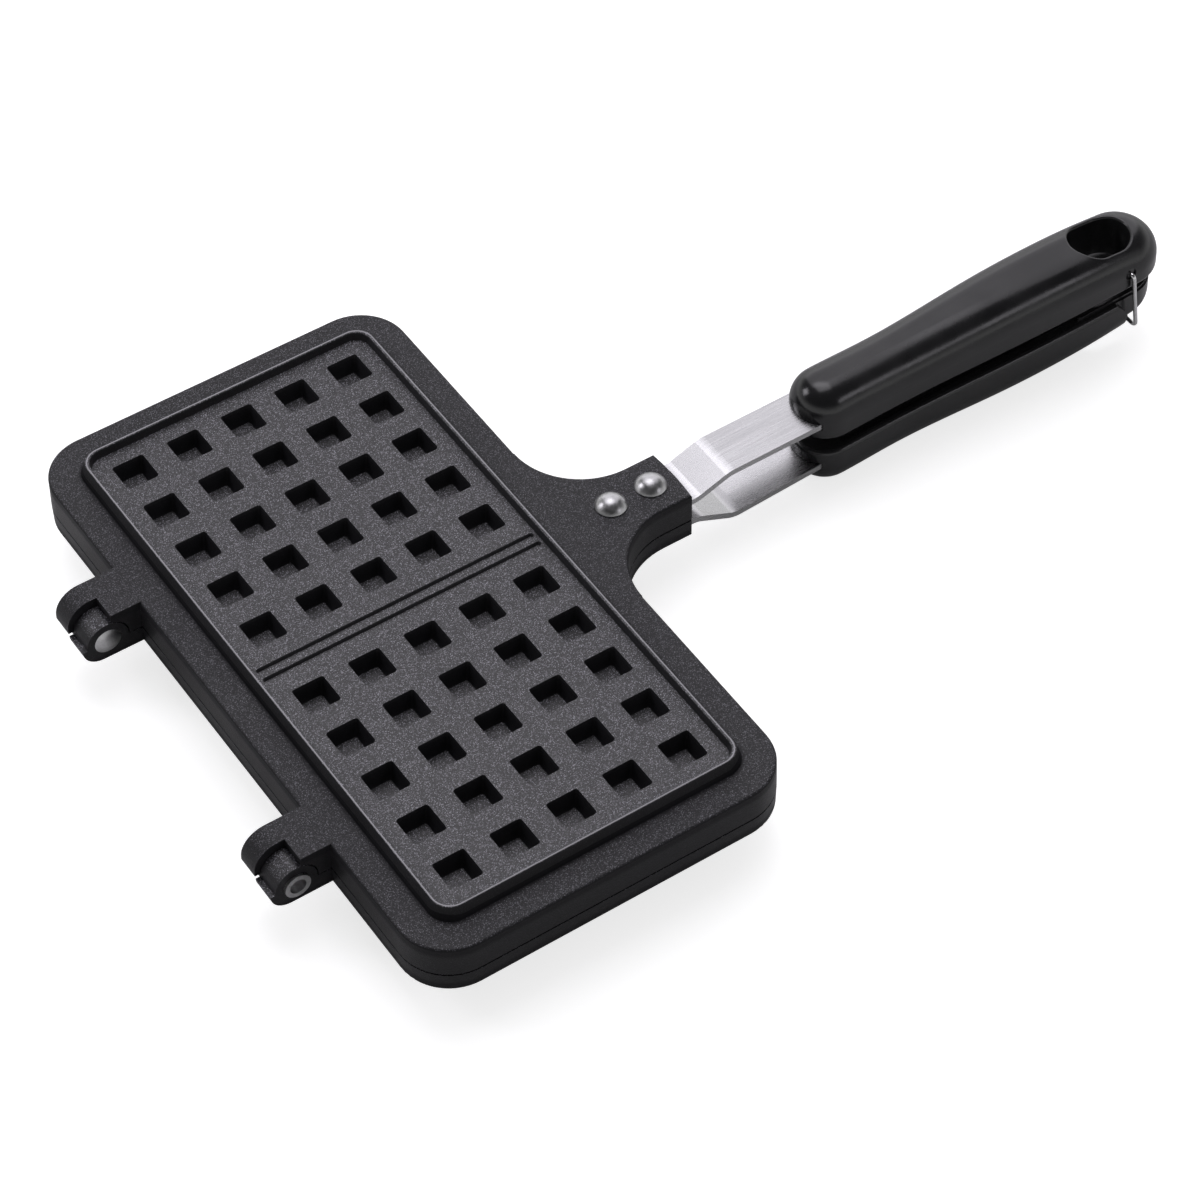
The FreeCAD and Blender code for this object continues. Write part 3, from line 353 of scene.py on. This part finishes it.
# the plates' dressed copies, with the soft edges that a casting under its coating has
plate = {
    "rimAbovePanel": 2.8 * mm, "pocketDepth": 6.3 * mm, "panelWall": 2.4 * mm,
    "studDepth": 8.6 * mm, "grooveHalf": 3.4 * mm, "panelHalf": (49.7 * mm, 104.4 * mm),
    "rimHalf": (53.7 * mm, 108.2 * mm), "slack": 0.03 * mm, "hingeAboveParting": 1.1 * mm, "apart": 0.2 * mm,
    "cornerSteps": 4, "edgeSteps": 3}
edgeWidths = {
    "pocketCorner": 0.9 * mm, "pocketMouth": 0.45 * mm, "pocketFloor": 0.35 * mm, "recessFoot": 0.5 * mm,
    "groove": 0.6 * mm, "studCorner": 1.2 * mm, "studTop": 0.8 * mm, "studFoot": 0.8 * mm,
    "seam": 0.3 * mm}


merging = {"near": 0.002 * mm, "flat": 0.3}


def copyOfNode(name, pieceName, c=merging):
    piece = nodes[name].copy()
    piece.data = nodes[name].data.copy()
    piece.name = piece.data.name = pieceName
    bpy.context.scene.collection.objects.link(piece)
    pick(piece)
    if piece.data.has_custom_normals:
        bpy.ops.mesh.customdata_custom_splitnormals_clear()
    bpy.ops.object.mode_set(mode="EDIT")
    bpy.ops.mesh.select_all(action="SELECT")
    bpy.ops.mesh.remove_doubles(threshold=c["near"])
    bpy.ops.mesh.dissolve_limited(angle_limit=math.radians(c["flat"]))
    bpy.ops.object.mode_set(mode="OBJECT")
    return piece


def bevelWhere(piece, wanted, width, steps, sharpOver=30.0, profile=0.5):
    pick(piece)
    bpy.ops.object.mode_set(mode="EDIT")
    bpy.ops.mesh.select_mode(type="EDGE")
    bpy.ops.mesh.select_all(action="DESELECT")
    bpy.ops.mesh.edges_select_sharp(sharpness=math.radians(sharpOver))
    bpy.ops.object.mode_set(mode="OBJECT")
    mesh = piece.data
    chosen = [e.index for e in mesh.edges
              if e.select and wanted(*(mesh.vertices[v].co for v in e.vertices))]
    # flags left on faces or corners would round far more edges than the chosen ones
    for part in (mesh.vertices, mesh.edges, mesh.polygons):
        part.foreach_set("select", [False] * len(part))
    for index in chosen:
        mesh.edges[index].select = True
        for corner in mesh.edges[index].vertices:
            mesh.vertices[corner].select = True
    if not chosen:
        raise RuntimeError(piece.name + ": no edge chosen")
    bpy.ops.object.mode_set(mode="EDIT")
    bpy.ops.mesh.bevel(offset=width, offset_type="OFFSET", segments=steps, profile=profile,
                       affect="EDGES", clamp_overlap=True)
    bpy.ops.object.mode_set(mode="OBJECT")
    print("   ", piece.name, "rounds", len(chosen), "edges by", round(width / mm, 2), "mm")


def smoothPiece(piece, angle=30.0):
    pick(piece)
    bpy.ops.object.shade_smooth_by_angle(angle=math.radians(angle), keep_sharp_edges=False)
    weighted = piece.modifiers.new("evenFaces", "WEIGHTED_NORMAL")
    weighted.weight = 50
    weighted.keep_sharp = True
    bpy.ops.object.modifier_apply(modifier=weighted.name)


def dressPlate(name, body, side, c=plate, w=edgeWidths):
    piece = copyOfNode(name, name + "Dressed")
    low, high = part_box(name)
    centre = high[0] - neckTip
    panel = (high[2] if side > 0 else low[2]) - side * c["rimAbovePanel"]

    def depth(p):
        return side * (panel - p.z)

    def atDepth(value, *points):
        return all(abs(depth(p) - value) < c["slack"] for p in points)

    def inside(half, *points):
        return all(abs(p.x - centre) < half[0] and abs(p.y) < half[1] for p in points)

    def pocketCorner(p, q):
        ends = sorted((depth(p), depth(q)))
        return (inside(c["panelHalf"], p, q) and abs(ends[0]) < c["slack"]
                and abs(ends[1] - c["pocketDepth"]) < c["slack"])

    def studCorner(p, q):
        ends = sorted((depth(p), depth(q)))
        return (inside(c["panelHalf"], p, q) and abs(ends[0] - c["panelWall"]) < c["slack"]
                and abs(ends[1] - c["studDepth"]) < c["slack"])

    def offDivider(p, q):
        return abs(p.y) > c["grooveHalf"] and abs(q.y) > c["grooveHalf"]

    bevelWhere(piece, pocketCorner, w["pocketCorner"], c["cornerSteps"])
    bevelWhere(piece, lambda p, q: atDepth(0, p, q) and inside(c["panelHalf"], p, q) and offDivider(p, q),
               w["pocketMouth"], c["edgeSteps"])
    bevelWhere(piece, lambda p, q: atDepth(c["pocketDepth"], p, q) and inside(c["panelHalf"], p, q),
               w["pocketFloor"], c["edgeSteps"])
    bevelWhere(piece, lambda p, q: atDepth(0, p, q) and inside(c["panelHalf"], p, q) and not offDivider(p, q),
               w["groove"], c["edgeSteps"])
    bevelWhere(piece, lambda p, q: atDepth(0, p, q) and not inside(c["panelHalf"], p, q)
               and inside(c["rimHalf"], p, q), w["recessFoot"], c["edgeSteps"])
    bevelWhere(piece, studCorner, w["studCorner"], c["edgeSteps"])
    bevelWhere(piece, lambda p, q: atDepth(c["studDepth"], p, q) and inside(c["panelHalf"], p, q),
               w["studTop"], c["edgeSteps"])
    bevelWhere(piece, lambda p, q: atDepth(c["panelWall"], p, q) and inside(c["panelHalf"], p, q),
               w["studFoot"], c["edgeSteps"])
    pivot = frame["record"]["behaviour"]["joints"][0]["pos_m"][2]
    seam = pivot - c["hingeAboveParting"] + side * c["apart"] / 2
    bevelWhere(piece, lambda p, q: abs(p.z - seam) < c["slack"] and abs(q.z - seam) < c["slack"],
               w["seam"], c["edgeSteps"], profile=0.1)
    smoothPiece(piece)
    piece.data.materials.clear()
    piece.data.materials.append(upperCoating if side > 0 else lowerCoating)
    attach(piece, body)
    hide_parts(name)
    print(name, "dressed with", sum(len(f.vertices) - 2 for f in piece.data.polygons), "triangles")


dressPlate("upper_plate", "upper_half", 1)
dressPlate("lower_plate", "lower_half", -1)

# the tongue at the lower grip's end and its hanging slot are moulded, so their edges are soft
tongue = {
    "from": 38.0 * mm, "shortest": 1.5 * mm, "width": 0.8 * mm, "steps": 3,
    "sharpOver": 40.0, "smoothUnder": 35.0}


def dressLowerGrip(c=tongue):
    piece = copyOfNode("lower_grip", "lower_gripDressed")
    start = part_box("lower_grip")[1][0] - c["from"]
    bevelWhere(piece, lambda p, q: p.x > start and q.x > start and (p - q).length > c["shortest"],
               c["width"], c["steps"], c["sharpOver"])
    smoothPiece(piece, c["smoothUnder"])
    piece.data.materials.clear()
    piece.data.materials.append(blackPlastic)
    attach(piece, "lower_half")
    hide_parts("lower_grip")


dressLowerGrip()

# the camera stands where the photograph was taken from
cameraSettings = {
    "place": (-0.48431, -0.69406, 0.94370), "turn": (40.9891, 0.4870, -33.7663), "lens": 119.82,
    "sensor": 36.0, "clip": (0.05, 20.0)}
bpy.ops.object.camera_add(location=cameraSettings["place"],
                          rotation=[math.radians(a) for a in cameraSettings["turn"]])
camera = bpy.context.object
camera.name = "photoCamera"
camera.data.lens = cameraSettings["lens"]
camera.data.sensor_width = cameraSettings["sensor"]
camera.data.clip_start, camera.data.clip_end = cameraSettings["clip"]
bpy.context.scene.camera = camera

# the floor and sky look white to the camera, but light the pan only softly
studio = {
    "floorDark": (0.60, 0.60, 0.60), "floorPale": (0.63, 0.63, 0.63), "floorGlow": 0.74,
    "floorMirrored": 0.02, "floorFades": (0.6, 1.6), "floorSize": 6.0, "floorRough": 0.9, "grainScale": 240.0,
    "ambient": 0.22, "overhead": 0.02, "horizon": (0.14, 0.46),
    "lampColour": (1.0, 0.975, 1.035), "lampsAimAt": (0, 0, 0.02)}


def makeFloorMaterial(c=studio):
    material, tree, shader, place = startMaterial("paleStudioFloor", Roughness=c["floorRough"])
    grain = addNode(tree, "ShaderNodeTexNoise", Scale=c["grainScale"], Detail=3.0)
    wire(tree, place, grain.inputs["Vector"])
    speckle = mixColour(tree, grain.outputs["Fac"], c["floorDark"], c["floorPale"])
    wire(tree, speckle, shader.inputs["Base Color"])
    rays = addNode(tree, "ShaderNodeLightPath")
    shader.inputs["Emission Color"].default_value = (1, 1, 1, 1)
    reach = addNode(tree, "ShaderNodeVectorMath", operation="LENGTH")
    wire(tree, place, reach.inputs[0])
    whiter = ramp(tree, reach.outputs["Value"], *c["floorFades"], c["floorGlow"], 1.0)
    glow = maths(tree, "MULTIPLY", rays.outputs["Is Camera Ray"], whiter)
    mirrored = maths(tree, "MULTIPLY", rays.outputs["Is Glossy Ray"], c["floorMirrored"])
    wire(tree, maths(tree, "ADD", glow, mirrored), shader.inputs["Emission Strength"])
    # a camera under the floor looks through it
    below = maths(tree, "MULTIPLY", rays.outputs["Is Camera Ray"],
                  addNode(tree, "ShaderNodeNewGeometry").outputs["Backfacing"])
    seen = addNode(tree, "ShaderNodeMixShader")
    wire(tree, below, seen.inputs[0])
    wire(tree, shader.outputs[0], seen.inputs[1])
    wire(tree, addNode(tree, "ShaderNodeBsdfTransparent").outputs[0], seen.inputs[2])
    output = next(node for node in tree.nodes if node.bl_idname == "ShaderNodeOutputMaterial")
    wire(tree, seen.outputs[0], output.inputs["Surface"])
    return material


bpy.ops.mesh.primitive_plane_add(size=studio["floorSize"], location=(0, 0, 0))
floor = bpy.context.object
floor.name = "studioFloor"
floor.data.materials.append(makeFloorMaterial())

lamps = [
    {"name": "mirrorSoftbox", "place": (0.66, 1.02, 1.22), "size": (2.2, 2.0), "power": 15.0},
    {"name": "overheadSoftbox", "place": (0.1, 0.42, 1.5), "size": (0.9, 0.9), "power": 6.0},
    {"name": "leftSoftbox", "place": (-1.0, 0.95, 0.95), "size": (0.5, 0.5), "power": 4.0},
    {"name": "rightStrip", "place": (0.75, -1.24, 0.92), "size": (0.6, 0.3), "power": 1.4},
]
for lamp in lamps:
    bpy.ops.object.light_add(type="AREA", location=lamp["place"])
    light = bpy.context.object
    light.name = lamp["name"]
    light.data.shape = "RECTANGLE"
    light.data.size, light.data.size_y = lamp["size"]
    light.data.energy = lamp["power"]
    light.data.color = studio["lampColour"]
    aim = Vector(studio["lampsAimAt"]) - Vector(lamp["place"])
    light.rotation_euler = aim.to_track_quat("-Z", "Y").to_euler()


def makeWorld(c=studio):
    world = bpy.data.worlds.new("studioWorld")
    bpy.context.scene.world = world
    world.use_nodes = True
    tree = world.node_tree
    background = tree.nodes["Background"]
    rays = addNode(tree, "ShaderNodeLightPath")
    split = addNode(tree, "ShaderNodeSeparateXYZ")
    wire(tree, addNode(tree, "ShaderNodeTexCoord").outputs["Generated"], split.inputs[0])
    sweep = ramp(tree, split.outputs["Z"], *c["horizon"], 1.0, c["overhead"])
    white = maths(tree, "MAXIMUM", rays.outputs["Is Camera Ray"], rays.outputs["Is Transmission Ray"])
    shown = maths(tree, "MAXIMUM", white, maths(tree, "MULTIPLY", rays.outputs["Is Glossy Ray"], sweep))
    lit = maths(tree, "MULTIPLY", rays.outputs["Is Diffuse Ray"], c["ambient"])
    wire(tree, maths(tree, "MAXIMUM", shown, lit), background.inputs["Strength"])
    background.inputs["Color"].default_value = (1, 1, 1, 1)


makeWorld()
bpy.context.scene.view_settings.view_transform = "Standard"
print("camera, floor and light set")
